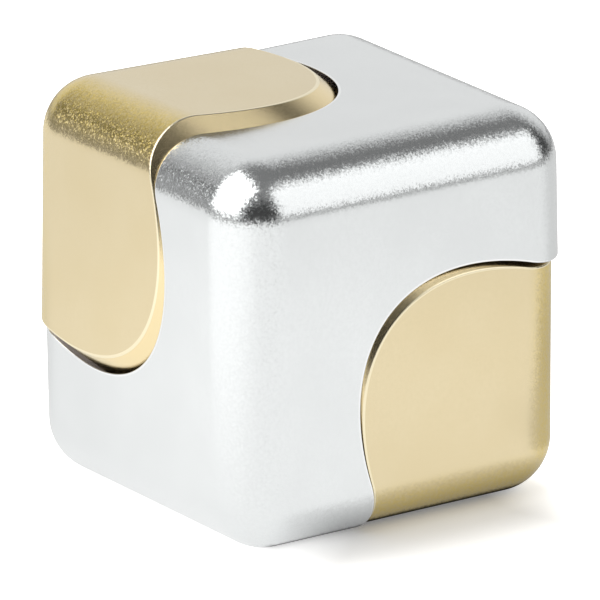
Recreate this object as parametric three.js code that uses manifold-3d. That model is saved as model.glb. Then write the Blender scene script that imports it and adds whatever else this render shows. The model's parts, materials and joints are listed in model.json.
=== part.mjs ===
// A cube spinner: a rounded metal cube, bored along one body diagonal, that turns on a small ball
// bearing between two corner caps. The caps are screwed onto one stud through the bearing.
// Millimetres, +Z up, origin at the centre of the cube.
import * as THREE from 'three';
import { RoundedBoxGeometry } from 'three/addons/geometries/RoundedBoxGeometry.js';
import { mergeVertices } from 'three/addons/utils/BufferGeometryUtils.js';
import Module from 'manifold-3d';

// ---- Driving dimensions ----

const CUBE_EDGE = 26;
const EDGE_FILLET = 3.75;
const FILLET_STEPS = 5;
const SPIN_AXIS = new THREE.Vector3(-1, 1, 1).normalize();

// A cap is a round plug, true to the diagonal, whose end is a corner of the same rounded cube. That
// end stands a little off the body's faces: it is turned about X, Y and Z, and then moved.
const UPPER_CAP_TURN = [-0.1, 2.25, 1.75];
const UPPER_CAP_MOVE = [-0.32, -0.31, 0.57];
const LOWER_CAP_TURN = [1.65, 0.2, 0.4];
const LOWER_CAP_MOVE = [-0.57, 0.04, 0.31];

const BORE_RADIUS = 12.05;
const CAP_RADIUS = 11.75;
const CAP_FACE = 3.95;
const CAP_SOCKET_DEPTH = 7;

// The web is what the two bores leave of the body's middle. It holds the bearing.
const WEB_HALF = 3.4;
const SEAT_RADIUS = 6.38;
const SEAT_HALF = 2.42;
const SHOULDER_RADIUS = 5.7;
const GROOVE_RADIUS = 6.95;
const GROOVE_WIDTH = 0.6;

// Ball bearing of inch size R188: 6.35 bore, 12.7 outside, 4.76 wide.
const BEARING_BORE = 3.175;
const BEARING_RADIUS = 6.35;
const BEARING_HALF = 2.38;
const BALL_COUNT = 10;
const BALL_RADIUS = 0.794;
const BALL_PITCH = 4.7625;
const RACE_RADIUS = 0.85;
const INNER_LAND = 4.16;
const OUTER_LAND = 5.36;

const CAGE_INNER = 4.45;
const CAGE_OUTER = 5.05;
const CAGE_POCKET = 0.88;
const CAGE_LOW = -1.25;
const CAGE_HIGH = 0.35;

const SHIELD_INNER = 4.35;
const SHIELD_OUTER = 5.3;
const SHIELD_THICKNESS = 0.2;
const SHIELD_SETBACK = 0.12;

// Snap ring that keeps the bearing in its seat.
const SNAP_PLAY = 0.05;
const SNAP_REACH = 0.55;
const SNAP_EAR = 0.5;
const SNAP_GAP_ANGLE = 0.32;
const SNAP_EAR_ANGLE = 0.55;

const STUD_RADIUS = 3.125;
const STUD_THREAD = 2.45;
const STUD_RELIEF = 2.1;
const STUD_HALF = 10;
const STUD_SHOULDER_HALF = 3.6;
const STUD_RELIEF_WIDTH = 0.5;
const STUD_CHAMFER = 0.4;
const SOCKET_RADIUS = 2.75;

const SPACER_RADIUS = 4.05;
const SPACER_GAP = 0.03;

const RING_SEGMENTS = 40;
const BORE_SEGMENTS = 72;

// ---- Finishes ----

const silver = { color: 0xe2e6e6, roughness: 0.45, metalness: 0.9 };
const gold = { color: 0xd9c48a, roughness: 0.45, metalness: 0.9 };
const steel = { color: 0xb9bcc0, roughness: 0.25, metalness: 1 };
const nylon = { color: 0x2a2a2c, roughness: 0.6, metalness: 0 };

// ---- Solids ----

const wasm = await Module();
wasm.setup();

function toSolid(geometry) {
  const bare = geometry.clone();
  bare.deleteAttribute('normal');
  bare.deleteAttribute('uv');
  const merged = mergeVertices(bare, 1e-4);
  return new wasm.Manifold(new wasm.Mesh({
    numProp: 3,
    vertProperties: new Float32Array(merged.attributes.position.array),
    triVerts: new Uint32Array(merged.index.array),
  }));
}

function toGeometry(solid) {
  const mesh = solid.getMesh();
  const geometry = new THREE.BufferGeometry();
  geometry.setAttribute('position', new THREE.BufferAttribute(mesh.vertProperties, 3));
  geometry.setIndex(new THREE.BufferAttribute(mesh.triVerts, 1));
  geometry.computeVertexNormals();
  return geometry;
}

// Every round piece is turned about +Y, with a profile of [radius, height] pairs.
function turned(profile, segments = RING_SEGMENTS) {
  return new THREE.LatheGeometry(profile.map(([r, y]) => new THREE.Vector2(r, y)), segments);
}

function washer(inner, outer, low, high) {
  return turned([[inner, low], [outer, low], [outer, high], [inner, high], [inner, low]]);
}

// Points of the raceway's arc, where it cuts into a land between the heights -h and +h.
function racewayArc(landRadius, steps = 4) {
  const side = Math.sign(landRadius - BALL_PITCH);
  const depth = Math.abs(landRadius - BALL_PITCH);
  const half = Math.acos(depth / RACE_RADIUS);
  const points = [];
  for (let i = 0; i <= steps; i += 1) {
    const angle = -half + (2 * half * i) / steps;
    points.push([BALL_PITCH + side * RACE_RADIUS * Math.cos(angle), RACE_RADIUS * Math.sin(angle)]);
  }
  return points;
}

function add(parent, name, geometry, finish) {
  const mesh = new THREE.Mesh(geometry, new THREE.MeshStandardMaterial(finish));
  mesh.name = name;
  parent.add(mesh);
  return mesh;
}

// ---- Groups: the cube, and the bearing pieces on its diagonal ----

const cube = new THREE.Group();

// Bearing pieces are turned about +Y, and this group lays +Y along the diagonal.
const alongAxis = new THREE.Quaternion().setFromUnitVectors(new THREE.Vector3(0, 1, 0), SPIN_AXIS);
const bearing = new THREE.Group();
bearing.quaternion.copy(alongAxis);
cube.add(bearing);

// ---- Body and caps ----

const cubeShape = new RoundedBoxGeometry(CUBE_EDGE, CUBE_EDGE, CUBE_EDGE, FILLET_STEPS, EDGE_FILLET);
const farOut = CUBE_EDGE;

// A turned solid laid along the diagonal.
function diagonalSolid(profile) {
  return toSolid(turned(profile, BORE_SEGMENTS).applyQuaternion(alongAxis));
}

function outerBody() {
  const grooveTop = SEAT_HALF + GROOVE_WIDTH;
  const hole = diagonalSolid([
    [0, -farOut], [BORE_RADIUS, -farOut], [BORE_RADIUS, -WEB_HALF],
    [SHOULDER_RADIUS, -WEB_HALF], [SHOULDER_RADIUS, -SEAT_HALF],
    [SEAT_RADIUS, -SEAT_HALF], [SEAT_RADIUS, SEAT_HALF],
    [GROOVE_RADIUS, SEAT_HALF], [GROOVE_RADIUS, grooveTop],
    [SEAT_RADIUS, grooveTop], [SEAT_RADIUS, WEB_HALF],
    [BORE_RADIUS, WEB_HALF], [BORE_RADIUS, farOut], [0, farOut],
  ]);
  return toGeometry(toSolid(cubeShape).subtract(hole));
}

const capProfile = [
  [0, CAP_FACE + CAP_SOCKET_DEPTH], [SOCKET_RADIUS, CAP_FACE + CAP_SOCKET_DEPTH],
  [SOCKET_RADIUS, CAP_FACE], [CAP_RADIUS, CAP_FACE], [CAP_RADIUS, farOut], [0, farOut],
];

function cornerCap(plugProfile, turn, move) {
  const turnVector = new THREE.Vector3(...turn).multiplyScalar(Math.PI / 180);
  const angle = turnVector.length();
  const end = cubeShape.clone();
  end.applyMatrix4(new THREE.Matrix4().makeRotationAxis(turnVector.normalize(), angle));
  end.translate(...move);
  return toGeometry(toSolid(end).intersect(diagonalSolid(plugProfile)));
}

const lowerProfile = capProfile.map(([r, y]) => [r, -y]).reverse();

add(cube, 'outer_body', outerBody(), silver);
add(cube, 'corner_cap_a', cornerCap(capProfile, UPPER_CAP_TURN, UPPER_CAP_MOVE), gold);
add(cube, 'corner_cap_b', cornerCap(lowerProfile, LOWER_CAP_TURN, LOWER_CAP_MOVE), gold);

// ---- Bearing ----

add(bearing, 'bearing_outer_ring', turned([
  [OUTER_LAND, -BEARING_HALF], [BEARING_RADIUS, -BEARING_HALF], [BEARING_RADIUS, BEARING_HALF],
  [OUTER_LAND, BEARING_HALF], ...racewayArc(OUTER_LAND).reverse(), [OUTER_LAND, -BEARING_HALF],
]), steel);

add(bearing, 'bearing_inner_ring', turned([
  [BEARING_BORE, -BEARING_HALF], [INNER_LAND, -BEARING_HALF], ...racewayArc(INNER_LAND),
  [INNER_LAND, BEARING_HALF], [BEARING_BORE, BEARING_HALF], [BEARING_BORE, -BEARING_HALF],
]), steel);

for (let i = 0; i < BALL_COUNT; i += 1) {
  const angle = (2 * Math.PI * i) / BALL_COUNT;
  const name = `bearing_ball_${String(i + 1).padStart(2, '0')}`;
  const ball = add(bearing, name, new THREE.SphereGeometry(BALL_RADIUS, 12, 8), steel);
  ball.position.set(BALL_PITCH * Math.cos(angle), 0, BALL_PITCH * Math.sin(angle));
}

// The crown cage is a ring with round pockets, open on one side where the balls snap in.
function crownCage() {
  let ring = toSolid(washer(CAGE_INNER, CAGE_OUTER, CAGE_LOW, CAGE_HIGH));
  for (let i = 0; i < BALL_COUNT; i += 1) {
    const angle = (2 * Math.PI * i) / BALL_COUNT;
    const pocket = new THREE.SphereGeometry(CAGE_POCKET, 12, 8);
    pocket.translate(BALL_PITCH * Math.cos(angle), 0, BALL_PITCH * Math.sin(angle));
    ring = ring.subtract(toSolid(pocket));
  }
  return toGeometry(ring);
}

add(bearing, 'bearing_cage', crownCage(), nylon);

const shieldTop = BEARING_HALF - SHIELD_SETBACK;
const shieldLow = shieldTop - SHIELD_THICKNESS;
add(bearing, 'bearing_shield_a', washer(SHIELD_INNER, SHIELD_OUTER, shieldLow, shieldTop), steel);
add(bearing, 'bearing_shield_b', washer(SHIELD_INNER, SHIELD_OUTER, -shieldTop, -shieldLow), steel);

// ---- Retaining ring: an open spring ring with an ear at each end ----

function retainingRing() {
  const outer = GROOVE_RADIUS - SNAP_PLAY;
  const inner = SEAT_RADIUS - SNAP_REACH;
  const earInner = inner - SNAP_EAR;
  const turn = 2 * Math.PI;
  const shape = new THREE.Shape();
  shape.absarc(0, 0, outer, SNAP_GAP_ANGLE, turn - SNAP_GAP_ANGLE, false);
  shape.absarc(0, 0, earInner, turn - SNAP_GAP_ANGLE, turn - SNAP_EAR_ANGLE, true);
  shape.absarc(0, 0, inner, turn - SNAP_EAR_ANGLE, SNAP_EAR_ANGLE, true);
  shape.absarc(0, 0, earInner, SNAP_EAR_ANGLE, SNAP_GAP_ANGLE, true);
  const geometry = new THREE.ExtrudeGeometry(shape, {
    depth: GROOVE_WIDTH - 2 * SNAP_PLAY, bevelEnabled: false, curveSegments: 20,
  });
  geometry.rotateX(-Math.PI / 2);
  geometry.translate(0, SEAT_HALF + SNAP_PLAY, 0);
  return geometry;
}

add(bearing, 'bearing_retaining_ring', retainingRing(), steel);

// ---- Stud and spacers ----

// One end of the stud, from its shoulder to its tip. The other end is the same, turned round.
const threadStart = STUD_SHOULDER_HALF + STUD_RELIEF_WIDTH + STUD_THREAD - STUD_RELIEF;
const studEnd = [
  [STUD_RADIUS, STUD_SHOULDER_HALF], [STUD_RELIEF, STUD_SHOULDER_HALF],
  [STUD_RELIEF, STUD_SHOULDER_HALF + STUD_RELIEF_WIDTH], [STUD_THREAD, threadStart],
  [STUD_THREAD, STUD_HALF - STUD_CHAMFER], [STUD_THREAD - STUD_CHAMFER, STUD_HALF], [0, STUD_HALF],
];
const otherEnd = studEnd.map(([r, y]) => [r, -y]).reverse();
add(bearing, 'centre_stud', turned([...otherEnd, ...studEnd]), steel);

const spacerLow = BEARING_HALF + SPACER_GAP;
const spacerHigh = CAP_FACE - SPACER_GAP;
add(bearing, 'spacer_a', washer(BEARING_BORE, SPACER_RADIUS, spacerLow, spacerHigh), steel);
add(bearing, 'spacer_b', washer(BEARING_BORE, SPACER_RADIUS, -spacerHigh, -spacerLow), steel);

export default cube;
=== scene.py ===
import json
import math

import bpy
import numpy as np
from mathutils import Matrix, Vector


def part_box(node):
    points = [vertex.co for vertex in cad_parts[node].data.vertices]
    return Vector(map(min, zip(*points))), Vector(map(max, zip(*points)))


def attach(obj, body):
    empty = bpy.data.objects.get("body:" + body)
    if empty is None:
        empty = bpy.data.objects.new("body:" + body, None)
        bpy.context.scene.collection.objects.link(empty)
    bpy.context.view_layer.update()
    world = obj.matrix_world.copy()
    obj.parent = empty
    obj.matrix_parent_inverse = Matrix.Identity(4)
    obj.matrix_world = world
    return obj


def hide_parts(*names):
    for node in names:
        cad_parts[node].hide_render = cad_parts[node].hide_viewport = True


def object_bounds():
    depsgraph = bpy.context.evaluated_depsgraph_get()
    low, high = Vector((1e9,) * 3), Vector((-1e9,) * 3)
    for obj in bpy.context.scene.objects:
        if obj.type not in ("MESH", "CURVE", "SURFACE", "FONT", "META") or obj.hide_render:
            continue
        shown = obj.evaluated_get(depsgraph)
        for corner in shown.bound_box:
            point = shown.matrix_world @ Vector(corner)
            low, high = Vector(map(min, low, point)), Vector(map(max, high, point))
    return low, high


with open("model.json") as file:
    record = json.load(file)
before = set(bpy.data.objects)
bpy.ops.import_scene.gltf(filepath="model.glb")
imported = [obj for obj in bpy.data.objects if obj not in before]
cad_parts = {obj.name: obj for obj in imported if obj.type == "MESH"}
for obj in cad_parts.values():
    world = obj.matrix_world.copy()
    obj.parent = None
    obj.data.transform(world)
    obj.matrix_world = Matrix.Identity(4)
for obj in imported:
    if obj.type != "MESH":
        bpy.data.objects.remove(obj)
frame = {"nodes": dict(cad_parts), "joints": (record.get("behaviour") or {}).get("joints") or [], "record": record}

CAD_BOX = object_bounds()
MM = 0.001

# ---- Sizes: the cube and the spin axis from the frame, the rest as in the CAD ----

BODY_LOW, BODY_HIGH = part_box("outer_body")
HALF_EDGE = (BODY_HIGH.x - BODY_LOW.x) / 2
SPIN_JOINT = next(j for j in frame["joints"] if j["name"] == "core_spin")
AXIS = Vector(SPIN_JOINT["axis"]).normalized()

FILLET = 3.75 * MM
FILLET_CENTRE = HALF_EDGE - FILLET
BORE_RADIUS = 12.05 * MM
CAP_RADIUS = 11.75 * MM
CAP_FACE = 3.95 * MM
SOCKET_RADIUS = 2.75 * MM
SOCKET_DEPTH = 7.0 * MM
WEB_HALF = 3.4 * MM
SEAT_RADIUS = 6.38 * MM
SEAT_HALF = 2.42 * MM
SHOULDER_RADIUS = 5.7 * MM
GROOVE_RADIUS = 6.95 * MM
GROOVE_WIDTH = 0.6 * MM

# The end of each cap is a little out of line with the body: turned about X, Y and Z in degrees,
# then moved in millimetres. Side 1 is the upper cap and side -1 the lower one.
UPPER, LOWER = 1, -1
CAP_TURN = {UPPER: (-0.1, 2.25, 1.75), LOWER: (1.65, 0.2, 0.4)}
CAP_MOVE = {UPPER: (-0.32, -0.31, 0.57), LOWER: (-0.57, 0.04, 0.31)}

# Every machined edge is broken by a small round, with a row of points close beside it.
CAP_EDGE_ROUND = 0.07 * MM
BORE_EDGE_ROUND = 0.11 * MM
TURNED_ROUND = 0.12 * MM
WEB_ROUND = 0.06 * MM
EDGE_SUPPORT = 0.04 * MM

COLUMNS = 420
CAP_ROWS = 64
BODY_ROWS = 136
WALL_ROWS = 14
EDGE_ROWS = 5
TURNED_EDGE_ROWS = 3
HALVINGS = 44

# How far a wall's last stretch runs before the outline turns, and the radius of the last ring
# before the point that closes a socket.
CAP_WALL_END = 0.4 * MM
BORE_WALL_END = 0.5 * MM
SOCKET_POLE = 0.05 * MM

# ---- Points of the rounded cube, in polar coordinates about the spin axis ----

axis = np.array(AXIS)
across = np.array(AXIS.orthogonal().normalized())
aside = np.cross(axis, across)
theta = np.linspace(0, 2 * math.pi, COLUMNS, endpoint=False)
radial = np.cos(theta)[:, None] * across + np.sin(theta)[:, None] * aside


def cap_end(side):
    """Turn and move of the rounded cube that one cap's end is cut from."""
    turn = Vector(CAP_TURN[side])
    matrix = Matrix.Rotation(math.radians(turn.length), 3, turn)
    return np.array(matrix), np.array(CAP_MOVE[side]) * MM


TRUE = (np.eye(3), np.zeros(3))


def past_centres(points, pose):
    """How far points lie past the centres of the cube's fillets, along each of its own axes."""
    turn, move = pose
    return np.abs((points - move) @ turn) - FILLET_CENTRE


def inside_cube(points, pose):
    """Signed distance to the rounded cube, below zero inside it."""
    q = past_centres(points, pose)
    outside = np.linalg.norm(np.maximum(q, 0), axis=-1)
    return outside + np.minimum(q.max(axis=-1), 0) - FILLET


def fillet_share(points, pose):
    """0 on the flats of the rounded cube, rising to 1 along the middle of its fillets."""
    second = np.sort(np.maximum(past_centres(points, pose), 0), axis=-1)[:, 1]
    return np.clip(second / (math.sqrt(0.5) * FILLET), 0, 1)


def out_to_surface(start, direction, pose=TRUE):
    """Where lines from inside the cube leave it, by halving."""
    low = np.zeros(start.shape[:-1])
    high = np.full(start.shape[:-1], 4 * HALF_EDGE)
    for _ in range(HALVINGS):
        middle = (low + high) / 2
        within = inside_cube(start + direction * middle[..., None], pose) < 0
        low = np.where(within, middle, low)
        high = np.where(within, high, middle)
    return start + direction * low[..., None]


def surface_ring(radius, side, pose=TRUE):
    """The ring of points at one radius on the end of the cube that side names."""
    start = radial * radius
    return out_to_surface(start, np.broadcast_to(axis * side, start.shape), pose)


def ring_at(radius, height):
    """A plain circle about the axis."""
    return radial * radius + axis * height


def edge_round(first, corner, last, steps=EDGE_ROWS):
    """Rows of a small round from one face to the next, round the sharp corner."""
    rows = []
    for t in np.linspace(0, 1, steps):
        rows.append((1 - t) ** 2 * first + 2 * t * (1 - t) * corner + t**2 * last)
    return rows


def between(first, last, count):
    """Rows evenly spaced between two rings, leaving both out."""
    return [first + (last - first) * (i / (count + 1)) for i in range(1, count + 1)]


def turned_rows(outline, round_size):
    """Rings for a turned outline of (radius, height) points, its corners slightly rounded."""
    rows = [ring_at(*outline[0])]
    for before, corner, after in zip(outline, outline[1:], outline[2:]):
        corner = np.array(corner)
        back = np.array(before) - corner
        onward = np.array(after) - corner
        start = corner + back / np.linalg.norm(back) * round_size
        end = corner + onward / np.linalg.norm(onward) * round_size
        rows.extend(edge_round(ring_at(*start), ring_at(*corner), ring_at(*end), TURNED_EDGE_ROWS))
    rows.append(ring_at(*outline[-1]))
    return rows


# ---- Meshes ----

def ring_faces(count, closed):
    """Quads between neighbouring rings, and from the last ring to the first if closed."""
    column = np.arange(COLUMNS)
    following = (column + 1) % COLUMNS
    faces = []
    for row in range(count if closed else count - 1):
        here = row * COLUMNS
        there = (row + 1) % count * COLUMNS
        quads = np.stack([here + column, here + following, there + following, there + column], 1)
        faces.extend(quads.tolist())
    return faces


def pole_faces(count):
    """Triangles from the first and the last ring to the two poles, which follow the rings."""
    column = np.arange(COLUMNS)
    following = (column + 1) % COLUMNS
    first_pole = np.full(COLUMNS, count * COLUMNS)
    last_ring = (count - 1) * COLUMNS
    start = np.stack([following, column, first_pole], 1)
    end = np.stack([last_ring + column, last_ring + following, first_pole + 1], 1)
    return start.tolist() + end.tolist()


def grid_piece(name, rows, edge_rows, inner_rows, pose=TRUE, poles=None):
    """A smooth closed mesh from rings. It closes on itself, or with a point at each pole."""
    points = np.concatenate(rows)
    faces = ring_faces(len(rows), poles is None)
    if poles is not None:
        points = np.concatenate([points, np.array(poles)])
        faces += pole_faces(len(rows))
    mesh = bpy.data.meshes.new(name)
    mesh.from_pydata(points.tolist(), [], faces)
    mesh.shade_smooth()
    shares = {"bend": fillet_share(points, pose).astype(np.float32)}
    for label, marked in (("edge", edge_rows), ("inner", inner_rows)):
        shares[label] = np.zeros(len(points), np.float32)
        for row in marked:
            shares[label][row * COLUMNS:(row + 1) * COLUMNS] = 1
    for label, values in shares.items():
        mesh.attributes.new(label, "FLOAT", "POINT").data.foreach_set("value", values)
    mesh.update()
    turn_outward(mesh)
    piece = bpy.data.objects.new(name, mesh)
    bpy.context.scene.collection.objects.link(piece)
    return piece


def turn_outward(mesh):
    """Turns every face over if the mesh encloses a negative volume."""
    points = np.array([v.co for v in mesh.vertices])
    mesh.calc_loop_triangles()
    corners = np.array([t.vertices[:] for t in mesh.loop_triangles])
    a, b, c = points[corners[:, 0]], points[corners[:, 1]], points[corners[:, 2]]
    if np.einsum("ij,ij->i", a, np.cross(b, c)).sum() < 0:
        mesh.flip_normals()


# ---- Pieces ----

def corner_cap(name, side):
    """A round plug whose outer end is one corner of the cube, with a plain socket for the stud."""
    end = cap_end(side)
    outward = axis * side
    face_radius = CAP_RADIUS - CAP_EDGE_ROUND
    radii = (face_radius - EDGE_SUPPORT) * np.arange(1, CAP_ROWS + 1) / CAP_ROWS
    rows = [surface_ring(radius, side, end) for radius in radii]

    corner = surface_ring(CAP_RADIUS, side, end)
    wall_top = corner - outward * CAP_EDGE_ROUND
    edge_first = len(rows)
    rows += edge_round(surface_ring(face_radius, side, end), corner, wall_top)
    inner_first = len(rows)

    rows.append(wall_top - outward * EDGE_SUPPORT)
    rows += between(wall_top, ring_at(CAP_RADIUS, side * CAP_FACE), WALL_ROWS)
    socket_end = CAP_FACE + SOCKET_DEPTH
    underside = turned_rows([
        (CAP_RADIUS, side * (CAP_FACE + CAP_WALL_END)), (CAP_RADIUS, side * CAP_FACE),
        (SOCKET_RADIUS, side * CAP_FACE), (SOCKET_RADIUS, side * socket_end),
        (SOCKET_POLE, side * socket_end),
    ], TURNED_ROUND)
    rows += underside[1:]

    poles = (out_to_surface(np.zeros(3), outward, end), outward * socket_end)
    edge_rows = range(edge_first, inner_first)
    inner_rows = range(inner_first, len(rows))
    return grid_piece(name, rows, edge_rows, inner_rows, end, poles)


def bore_rim(side):
    """The round where one bore meets the outside of the cube, from the outside in."""
    corner = surface_ring(BORE_RADIUS, side)
    outside = surface_ring(BORE_RADIUS + BORE_EDGE_ROUND, side)
    return edge_round(outside, corner, corner - axis * side * BORE_EDGE_ROUND)


def outside_rows():
    """Rings over the outside of the cube, from the edge of one bore to the edge of the other."""
    radius = BORE_RADIUS + BORE_EDGE_ROUND + EDGE_SUPPORT
    first, last = [np.arctan2(surface_ring(radius, side) @ axis, radius) for side in (UPPER, LOWER)]
    rows = []
    for i in range(BODY_ROWS + 1):
        latitude = first + (last - first) * i / BODY_ROWS
        direction = np.cos(latitude)[:, None] * radial + np.sin(latitude)[:, None] * axis
        rows.append(out_to_surface(np.zeros_like(direction), direction))
    return rows


def spinner_body():
    """The rounded cube with a bore from each end and the web that holds the bearing."""
    upper_edge = bore_rim(UPPER)[::-1]
    lower_edge = bore_rim(LOWER)
    rows = upper_edge + outside_rows() + lower_edge
    edge_rows = list(range(len(upper_edge)))
    edge_rows += range(len(rows) - len(lower_edge), len(rows))

    web = turned_rows([
        (BORE_RADIUS, -WEB_HALF - BORE_WALL_END), (BORE_RADIUS, -WEB_HALF),
        (SHOULDER_RADIUS, -WEB_HALF), (SHOULDER_RADIUS, -SEAT_HALF),
        (SEAT_RADIUS, -SEAT_HALF), (SEAT_RADIUS, SEAT_HALF),
        (GROOVE_RADIUS, SEAT_HALF), (GROOVE_RADIUS, SEAT_HALF + GROOVE_WIDTH),
        (SEAT_RADIUS, SEAT_HALF + GROOVE_WIDTH), (SEAT_RADIUS, WEB_HALF),
        (BORE_RADIUS, WEB_HALF), (BORE_RADIUS, WEB_HALF + BORE_WALL_END),
    ], WEB_ROUND)
    rows.append(lower_edge[-1] + axis * EDGE_SUPPORT)
    inner_first = len(rows)
    rows += between(lower_edge[-1], web[0], WALL_ROWS) + web
    rows += between(web[-1], upper_edge[0], WALL_ROWS)
    inner_rows = range(inner_first, len(rows))
    rows.append(upper_edge[0] - axis * EDGE_SUPPORT)
    return grid_piece("spinner_body", rows, edge_rows, inner_rows)


# ---- Shader nodes ----

class Nodes:
    """A short way to write a node tree: each call makes a node and links what it is given."""

    def __init__(self, tree):
        self.tree = tree

    def give(self, value, socket):
        """Links a socket's value, or sets a plain one."""
        if isinstance(value, bpy.types.NodeSocket):
            self.tree.links.new(value, socket)
        else:
            socket.default_value = value

    def make(self, kind, inputs=None, **settings):
        node = self.tree.nodes.new(kind)
        for key, value in settings.items():
            setattr(node, key, value)
        for key, value in (inputs or {}).items():
            self.give(value, node.inputs[key])
        return node

    def math(self, operation, a, b=0.0, c=0.0):
        return self.make("ShaderNodeMath", {0: a, 1: b, 2: c}, operation=operation).outputs[0]

    def vector(self, operation, a, b=(0, 0, 0)):
        node = self.make("ShaderNodeVectorMath", {0: a, 1: b}, operation=operation)
        return node.outputs["Value" if operation in ("DOT_PRODUCT", "LENGTH") else "Vector"]

    def scaled(self, vector, factor):
        inputs = {0: vector, "Scale": factor}
        return self.make("ShaderNodeVectorMath", inputs, operation="SCALE").outputs["Vector"]

    def fit(self, value, low, high, to_low=0.0, to_high=1.0, smooth=True):
        """Carries a value from one range to another, and holds it at the ends."""
        kind = "SMOOTHSTEP" if smooth else "LINEAR"
        inputs = {0: value, 1: low, 2: high, 3: to_low, 4: to_high}
        return self.make("ShaderNodeMapRange", inputs, interpolation_type=kind).outputs[0]

    def product(self, *factors):
        result = factors[0]
        for factor in factors[1:]:
            result = self.math("MULTIPLY", result, factor)
        return result

    def noise(self, place, scale, detail):
        inputs = {"Vector": place, "Scale": scale, "Detail": detail}
        return self.make("ShaderNodeTexNoise", inputs).outputs[0]

    def mix(self, factor, a, b, blend="MIX"):
        """Mixes two colors."""
        node = self.make("ShaderNodeMix", data_type="RGBA", blend_type=blend)
        for index, value in ((0, factor), (6, a), (7, b)):
            self.give(value, node.inputs[index])
        return node.outputs[2]


# ---- Materials ----

# Ranges of noise that a pattern is drawn from: a wide one is soft, and a narrow one has more contrast.
WIDE = (0.3, 0.7)
NARROW = (0.35, 0.65)

# Noise is given as a scale and a detail.

# Blasted metal: wide clouds and fine dust, and how strongly the dust tints.
CLOUD_NOISE = (160.0, 3.0)
DUST_NOISE = (5200.0, 2.0)
DUST_ON_FLATS = 0.3
DUST_ON_FILLETS = 0.4
FACET_ROUGHNESS = (0.18, 0.23)
# Facets left by blasting: width in metres, and how far their normals lean. On the flats, which
# were lapped, they lean by a small share of that.
FACETS = ((0.10 * MM, 0.11), (0.07 * MM, 0.06))
LAPPED_SHARE = 0.08
# How far into a fillet, from 0 to 1, the bend color (painted shade on the gold) and its full blasting are reached.
BEND_TINTED = 0.85
BEND_BLASTED = 0.35
# Grooves left by turning the walls.
GROOVE_PITCH = 0.02 * MM
GROOVE_LEAN = 0.12

# Turned steel and moulded nylon.
STEEL_NOISE = (900.0, 3.0)
STEEL_ROUGHNESS_SPREAD = 0.12
STEEL_SHADE = 0.8
STEEL_RING_DEPTH = 0.002 * MM
NYLON_NOISE = (1500.0, 4.0)
NYLON_ROUGHNESS = (0.38, 0.5)
NYLON_SHADE = 0.85
NYLON_GRAIN = 0.01 * MM
BUMP_STRENGTH = 0.3


def opaque(color, shade=1.0):
    return tuple(shade * c for c in color) + (1.0,)


def new_material(name, color):
    material = bpy.data.materials.new(name)
    material.use_nodes = True
    material.diffuse_color = opaque(color)
    material.node_tree.nodes.clear()
    nodes = Nodes(material.node_tree)
    shader = nodes.make("ShaderNodeBsdfPrincipled")
    nodes.make("ShaderNodeOutputMaterial", {0: shader.outputs[0]})
    place = nodes.make("ShaderNodeTexCoord").outputs["Object"]
    return material, nodes, shader, place


def blasted_aluminium(name, flat, deep, bend, edge, wall):
    """Bead-blasted and anodised aluminium: each bead leaves a small facet with a tilt of its own.

    The flats were lapped after blasting, so their facets lean much less than those on the fillets.
    The inner walls are only turned, so they have fine grooves round the spin axis and no facets.
    Clouds and dust of the deep color lie over the color of the flats and that of the bends. On the gold,
    the bends' deeper, yellower color is painted shade on the fillets.
    """
    material, nodes, shader, place = new_material(name, flat)
    at_bend, at_edge, at_wall = [
        nodes.make("ShaderNodeAttribute", attribute_name=label).outputs["Fac"]
        for label in ("bend", "edge", "inner")
    ]
    cloud = nodes.noise(place, *CLOUD_NOISE)
    dust = nodes.noise(place, *DUST_NOISE)

    clouded = nodes.mix(nodes.fit(cloud, *WIDE), opaque(flat), opaque(deep))
    on_flats = nodes.mix(nodes.fit(dust, *NARROW, 0.0, DUST_ON_FLATS), clouded, opaque(deep))
    # On the gold the bend color is a deeper, yellower gold: painted shade on the fillets.
    on_bends = nodes.mix(nodes.fit(dust, *NARROW, 0.0, DUST_ON_FILLETS), opaque(bend), opaque(deep))
    outside = nodes.mix(nodes.fit(at_bend, 0.0, BEND_TINTED), on_flats, on_bends)
    # The edge rows get a lighter color than the blasted faces: a painted highlight along the edge rounds.
    outside = nodes.mix(at_edge, outside, opaque(edge))
    shader.inputs["Metallic"].default_value = 1.0
    # The wall color is painted: dark on the silver, as painted shade in the bores and seams; a lighter gold on the
    # caps, as a painted sheen on the seams' crescents.
    nodes.give(nodes.mix(at_wall, outside, opaque(wall)), shader.inputs["Base Color"])
    nodes.give(nodes.fit(dust, *WIDE, *FACET_ROUGHNESS), shader.inputs["Roughness"])

    normal = nodes.make("ShaderNodeNewGeometry").outputs["Normal"]
    blasted = nodes.fit(at_bend, 0.0, BEND_BLASTED, LAPPED_SHARE, 1.0, smooth=False)
    blasted = nodes.product(blasted, nodes.math("SUBTRACT", 1.0, at_wall))
    for width, lean in FACETS:
        inputs = {"Vector": place, "Scale": 1 / width}
        cells = nodes.make("ShaderNodeTexVoronoi", inputs, feature="F1").outputs["Color"]
        tilt = nodes.vector("SUBTRACT", cells, (0.5, 0.5, 0.5))
        normal = nodes.vector("ADD", normal, nodes.scaled(tilt, nodes.product(blasted, lean)))
    height = nodes.vector("DOT_PRODUCT", place, AXIS)
    groove = nodes.math("SINE", nodes.product(height, 2 * math.pi / GROOVE_PITCH))
    groove = nodes.product(groove, at_wall, GROOVE_LEAN)
    normal = nodes.vector("ADD", normal, nodes.scaled(AXIS, groove))
    nodes.give(nodes.vector("NORMALIZE", normal), shader.inputs["Normal"])
    return material


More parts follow.
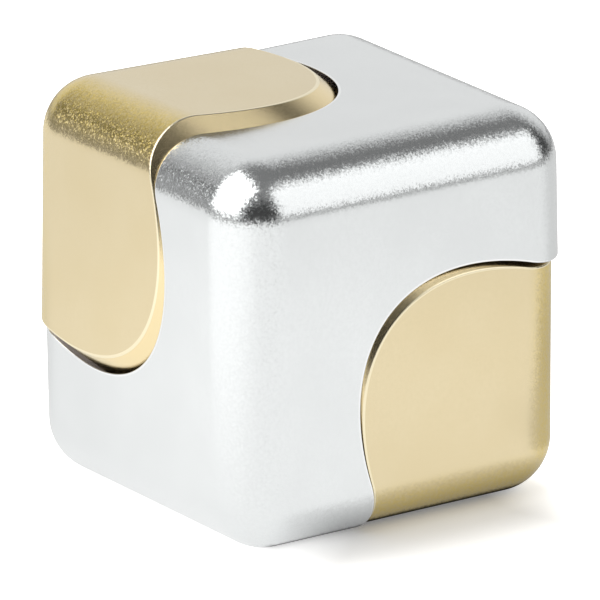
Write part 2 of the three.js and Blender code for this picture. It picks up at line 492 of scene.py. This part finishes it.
def turned_metal(name, color, roughness, ring_pitch):
    """Ground or turned steel with fine rings round the spin axis."""
    material, nodes, shader, place = new_material(name, color)
    height = nodes.vector("DOT_PRODUCT", place, AXIS)
    squared = nodes.vector("DOT_PRODUCT", place, place)
    radius = nodes.math("SQRT", nodes.math("MULTIPLY_ADD", nodes.product(height, -1.0), height, squared))
    rings = nodes.product(nodes.math("ADD", radius, height), 2 * math.pi / ring_pitch)
    cloud = nodes.noise(place, *STEEL_NOISE)
    tint = nodes.mix(nodes.fit(cloud, *NARROW), opaque(color), opaque(color, STEEL_SHADE))
    bump = nodes.make("ShaderNodeBump", {
        "Height": nodes.math("SINE", rings), "Strength": BUMP_STRENGTH, "Distance": STEEL_RING_DEPTH})
    shader.inputs["Metallic"].default_value = 1.0
    nodes.give(tint, shader.inputs["Base Color"])
    nodes.give(nodes.fit(cloud, *WIDE, roughness, roughness + STEEL_ROUGHNESS_SPREAD),
               shader.inputs["Roughness"])
    nodes.give(bump.outputs[0], shader.inputs["Normal"])
    return material


def moulded_nylon(name, color):
    material, nodes, shader, place = new_material(name, color)
    cloud = nodes.noise(place, *NYLON_NOISE)
    tint = nodes.mix(nodes.fit(cloud, *WIDE), opaque(color), opaque(color, NYLON_SHADE))
    bump = nodes.make("ShaderNodeBump", {
        "Height": cloud, "Strength": BUMP_STRENGTH, "Distance": NYLON_GRAIN})
    nodes.give(tint, shader.inputs["Base Color"])
    nodes.give(nodes.fit(cloud, *WIDE, *NYLON_ROUGHNESS), shader.inputs["Roughness"])
    nodes.give(bump.outputs[0], shader.inputs["Normal"])
    return material


# The edge colors below are a painted highlight along the edge rounds.
SILVER = blasted_aluminium(
    "silver_anodised", flat=(0.83, 0.85, 0.85), deep=(0.80, 0.82, 0.82), bend=(0.83, 0.85, 0.85),
    # wall: painted shade, the bore walls painted dark brown.
    edge=(0.95, 0.96, 0.96), wall=(0.42, 0.37, 0.34))
GOLD = blasted_aluminium(
    # bend: painted shade, a deeper, yellower gold on the fillets.
    "gold_anodised", flat=(0.80, 0.685, 0.45), deep=(0.78, 0.66, 0.42), bend=(0.82, 0.64, 0.22),
    # wall: a painted sheen, the cap walls a lighter gold.
    edge=(0.95, 0.85, 0.60), wall=(0.93, 0.77, 0.46))

# Materials of the CAD nodes that stay, by their slot in the record.
SLOT_MATERIALS = {
    "bearing_steel": turned_metal(
        "bearing_steel", (0.72, 0.73, 0.75), roughness=0.12, ring_pitch=0.08 * MM),
    "plain_steel": turned_metal(
        "plain_steel", (0.60, 0.61, 0.63), roughness=0.3, ring_pitch=0.12 * MM),
    "spring_steel": turned_metal(
        "spring_steel", (0.16, 0.16, 0.17), roughness=0.4, ring_pitch=0.1 * MM),
    "cage_nylon": moulded_nylon("cage_nylon", (0.80, 0.76, 0.66)),
}

# ---- The object: three new pieces, and the CAD's own bearing, stud and spacers ----


def finish_piece(piece, material, body, node):
    piece.data.materials.append(material)
    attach(piece, body)
    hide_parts(node)


finish_piece(spinner_body(), SILVER, "housing", "outer_body")
finish_piece(corner_cap("upper_cap", UPPER), GOLD, "core", "corner_cap_a")
finish_piece(corner_cap("lower_cap", LOWER), GOLD, "core", "corner_cap_b")

for part in frame["record"]["subparts"]:
    if part["material_slot"] in SLOT_MATERIALS:
        mesh = frame["nodes"][part["node"]].data
        mesh.materials.clear()
        mesh.materials.append(SLOT_MATERIALS[part["material_slot"]])


def toward(azimuth, elevation=0):
    """The direction from the middle to an azimuth and elevation in degrees. Azimuth 0 is -Y."""
    a, e = math.radians(azimuth), math.radians(elevation)
    return Vector((math.sin(a) * math.cos(e), -math.cos(a) * math.cos(e), math.sin(e)))


# ---- Floor ----
#
# The camera sees a lit white sweep with a painted glow on it. The metal mirrors a glowing white sheet round the
# object, a painted reflection that only the metal sees: painted lighter on the left, darker behind and on the
# right, and painted dark under the object.

FLOOR_REACH = 2.0
FLOOR_COLOR = (0.86, 0.85, 0.83, 1)
FLOOR_ROUGHNESS = 0.8

# What the camera sees: a painted glow, weaker at the object's foot as painted shade, and strong on both sides as
# painted light.
GLOW_FOOT = 0.2
GLOW_OPEN = 0.5
GLOW_SIDES = 0.75
GLOW_FOOT_WIDTH = 8
GLOW_LEFT = (-130, -8, 2)
GLOW_RIGHT = (90, 4, 14)

# What the metal mirrors: a painted reflection, a glowing sheet that is offset to the left and fades out, in
# metres. It keeps a little of the paint's own light.
SHEET_OFFSET = toward(-147) * 0.07
SHEET_FADE = (0.19, 0.30, 1.0, 0.25)
MIRRORED_PAINT = 0.06

# How the sheet's painted glow changes across the floor, painted light on the left and painted shade behind and on
# the right:
# towards an azimuth, between two distances from the middle in millimetres, from one share to another.
SHEET_BACK = (150, -10, 30, 1.0, 0.76)
SHEET_RIGHT = (-110, -60, -30, 0.845, 0.935)
SHEET_LEFT = (-110, 10, 60, 0.0, 0.19)

# The painted shade at the foot, by the distance from the edge of the cube's footprint in millimetres. It
# gives way on the left, and so does the painted contact shadow, a dark line where the underside meets the floor.
SHADE_WIDTH = (-3.2, 4.0)
SHADE_UNDER = 0.19
SHADE_END = (-90, 3.6, 11.4)
CONTACT_SHADOW_WIDTH = (-2.7, -2.0)
CONTACT_SHADOW_END = (-90, 8.8, 10.2)

# A painted cast shadow on the right, which starts and ends towards the right and ends towards the back.
CAST_START = (90, 14, 20)
CAST_END = (90, 35, 65, 1.0, 0.0)
CAST_BACK = (180, -30, -18)
CAST_SHARE = 0.65


class FloorNodes(Nodes):
    """Nodes with shares that change from place to place on the floor."""

    def __init__(self, tree):
        super().__init__(tree)
        self.spot = self.make("ShaderNodeTexCoord").outputs["Object"]
        past_flats = self.vector("SUBTRACT", self.vector("ABSOLUTE", self.spot),
                                 (FILLET_CENTRE, FILLET_CENTRE, 1.0))
        from_centre = self.vector("LENGTH", self.vector("MAXIMUM", past_flats))
        self.from_foot = self.math("SUBTRACT", from_centre, FILLET)

    def crossing(self, azimuth, start, end, first=0.0, last=1.0):
        """A share that goes from first to last towards an azimuth, between two distances in mm."""
        reach = self.vector("DOT_PRODUCT", self.spot, toward(azimuth))
        return self.fit(reach, start * MM, end * MM, first, last)

    def leaving(self, start, end, first=0.0, last=1.0, smooth=True):
        """The same by the distance from the cube's footprint."""
        return self.fit(self.from_foot, start * MM, end * MM, first, last, smooth)

    def seen_glow(self):
        # Painted light on the floor for the camera, with painted shade at the object's foot.
        foot = self.leaving(0, GLOW_FOOT_WIDTH, GLOW_FOOT, GLOW_OPEN)
        sides = self.math("MAXIMUM", self.crossing(*GLOW_LEFT), self.crossing(*GLOW_RIGHT))
        return self.math("MAXIMUM", foot, self.product(sides, GLOW_SIDES))

    def mirrored_glow(self):
        # Painted reflection: a glow that only the metal's reflections see, with painted shade and painted shadows
        # in it.
        away = self.vector("LENGTH", self.vector("SUBTRACT", self.spot, SHEET_OFFSET))
        sideways = self.math("ADD", self.crossing(*SHEET_RIGHT), self.crossing(*SHEET_LEFT))
        # Painted shade at the foot, and a painted contact shadow along the footprint's edge.
        shade = self.leaving(*SHADE_WIDTH, SHADE_UNDER, 1.0, smooth=False)
        shade = self.fit(self.crossing(*SHADE_END), 0.0, 1.0, shade, 1.0, smooth=False)
        line = self.math("MAXIMUM", self.leaving(*CONTACT_SHADOW_WIDTH), self.crossing(*CONTACT_SHADOW_END))
        # A painted cast shadow on the right.
        cast = self.product(self.crossing(*CAST_START), self.crossing(*CAST_END),
                            self.crossing(*CAST_BACK))
        cast = self.fit(cast, 0.0, 1.0, 1.0, CAST_SHARE, smooth=False)
        return self.product(self.fit(away, *SHEET_FADE), self.crossing(*SHEET_BACK), sideways,
                            shade, line, cast)


def floor_white():
    material = bpy.data.materials.new("floor_white")
    material.use_nodes = True
    material.node_tree.nodes.clear()
    nodes = FloorNodes(material.node_tree)
    seen = nodes.make("ShaderNodeLightPath").outputs["Is Camera Ray"]
    glow = nodes.make("ShaderNodeMix", {0: seen, 2: nodes.mirrored_glow(), 3: nodes.seen_glow()})
    share = nodes.fit(seen, 0.0, 1.0, MIRRORED_PAINT, 1.0)
    tone = nodes.make("ShaderNodeCombineColor", {0: share, 1: share, 2: share}).outputs[0]
    shader = nodes.make("ShaderNodeBsdfPrincipled", {
        "Base Color": nodes.mix(1.0, FLOOR_COLOR, tone, "MULTIPLY"),
        "Roughness": FLOOR_ROUGHNESS, "Specular IOR Level": 0.0,
        "Emission Color": (1, 1, 1, 1), "Emission Strength": glow.outputs[0],
    })
    nodes.make("ShaderNodeOutputMaterial", {0: shader.outputs[0]})
    return material


floor_mesh = bpy.data.meshes.new("floor")
floor_corners = [(x * FLOOR_REACH, y * FLOOR_REACH, 0) for x, y in ((-1, -1), (1, -1), (1, 1), (-1, 1))]
floor_mesh.from_pydata(floor_corners, [], [(0, 1, 2, 3)])
floor_mesh.materials.append(floor_white())
floor = bpy.data.objects.new("floor", floor_mesh)
bpy.context.scene.collection.objects.link(floor)
floor.location.z = CAD_BOX[0].z

# ---- Studio: soft boxes drawn on the world, seen in the metal and lighting the floor ----

# Azimuth, elevation, half width, half height and softness in degrees, then strength.
SOFT_BOXES = [
    (-100, 42, 36, 36, 6, 1.9),
    (38, 24, 23, 28, 9, 1.13),
    (147, 20, 40, 28, 20, 0.8),
    (-60, 84, 40, 40, 20, 0.17),
    (-148, 5, 24, 11, 8, 0.24),
]
DARK_STUDIO = 0.035
# Keeps the division by depth from running away at the sides of a box.
LEAST_DEPTH = 0.001

# Bounced light that fills the floor from the back left. It makes no highlight of its own.
FILL_FROM = toward(-170, 66)
FILL_STRENGTH = 2.9
FILL_SPREAD = 45


def soft_box(nodes, sky, azimuth, elevation, half_width, half_height, soft, strength):
    """A glowing rectangle in the sky, with soft edges."""
    middle = toward(azimuth, elevation)
    right = Vector((0, 0, 1)).cross(middle).normalized()
    up = middle.cross(right)
    depth, sideways, rise = [nodes.vector("DOT_PRODUCT", sky, d) for d in (middle, right, up)]
    in_front = nodes.math("GREATER_THAN", depth, 0.0)
    shares = []
    for reach, half in ((sideways, half_width), (rise, half_height)):
        slope = nodes.math("DIVIDE", reach, nodes.math("MAXIMUM", depth, LEAST_DEPTH))
        spread = nodes.math("ABSOLUTE", slope)
        inner, outer = math.tan(math.radians(half - soft)), math.tan(math.radians(half + soft))
        shares.append(nodes.fit(spread, inner, outer, 1.0, 0.0))
    return nodes.product(in_front, *shares, strength)


def studio_world():
    """A dark studio with the soft boxes. The camera itself sees plain white past the floor."""
    world = bpy.data.worlds.new("studio")
    world.use_nodes = True
    world.node_tree.nodes.clear()
    nodes = Nodes(world.node_tree)
    sky = nodes.make("ShaderNodeTexCoord").outputs["Generated"]
    glow = DARK_STUDIO
    for box in SOFT_BOXES:
        glow = nodes.math("ADD", soft_box(nodes, sky, *box), glow)
    seen = nodes.make("ShaderNodeLightPath").outputs["Is Camera Ray"]
    strength = nodes.math("MAXIMUM", glow, seen)
    light = nodes.make("ShaderNodeBackground", {"Color": (1, 1, 1, 1), "Strength": strength})
    nodes.make("ShaderNodeOutputWorld", {0: light.outputs[0]})
    return world


bpy.context.scene.world = studio_world()
bpy.context.scene.view_settings.view_transform = "Standard"

fill_data = bpy.data.lights.new("fill", "SUN")
fill_data.energy = FILL_STRENGTH
fill_data.angle = math.radians(FILL_SPREAD)
fill = bpy.data.objects.new("fill", fill_data)
fill.visible_glossy = False
fill.rotation_euler = FILL_FROM.to_track_quat("Z", "Y").to_euler()
bpy.context.scene.collection.objects.link(fill)

# ---- Camera ----

# The angles in degrees and the distance in metres that fit the photo's outlines. The lens is in
# millimetres, for a sensor 36 mm wide.
CAMERA_AZIMUTH = -32.85
CAMERA_ELEVATION = 18.05
CAMERA_ROLL = -1.16
CAMERA_DISTANCE = 0.8346
CAMERA_LENS = 776.8
# How far the object's middle stands to the right and above the picture's middle, in picture widths.
AIM_RIGHT = 0.0018333
AIM_UP = 0.0205

camera_data = bpy.data.cameras.new("camera")
camera_data.sensor_width = 36
camera_data.lens = CAMERA_LENS
camera_data.clip_start = 0.01
camera_data.clip_end = 10
camera_data.shift_x = -AIM_RIGHT
camera_data.shift_y = -AIM_UP
camera = bpy.data.objects.new("camera", camera_data)
bpy.context.scene.collection.objects.link(camera)
viewpoint = toward(CAMERA_AZIMUTH, CAMERA_ELEVATION)
facing_object = (-viewpoint).to_track_quat("-Z", "Y").to_matrix().to_4x4()
rolled = facing_object @ Matrix.Rotation(math.radians(CAMERA_ROLL), 4, "Z")
camera.matrix_world = Matrix.Translation(viewpoint * CAMERA_DISTANCE) @ rolled
bpy.context.scene.camera = camera
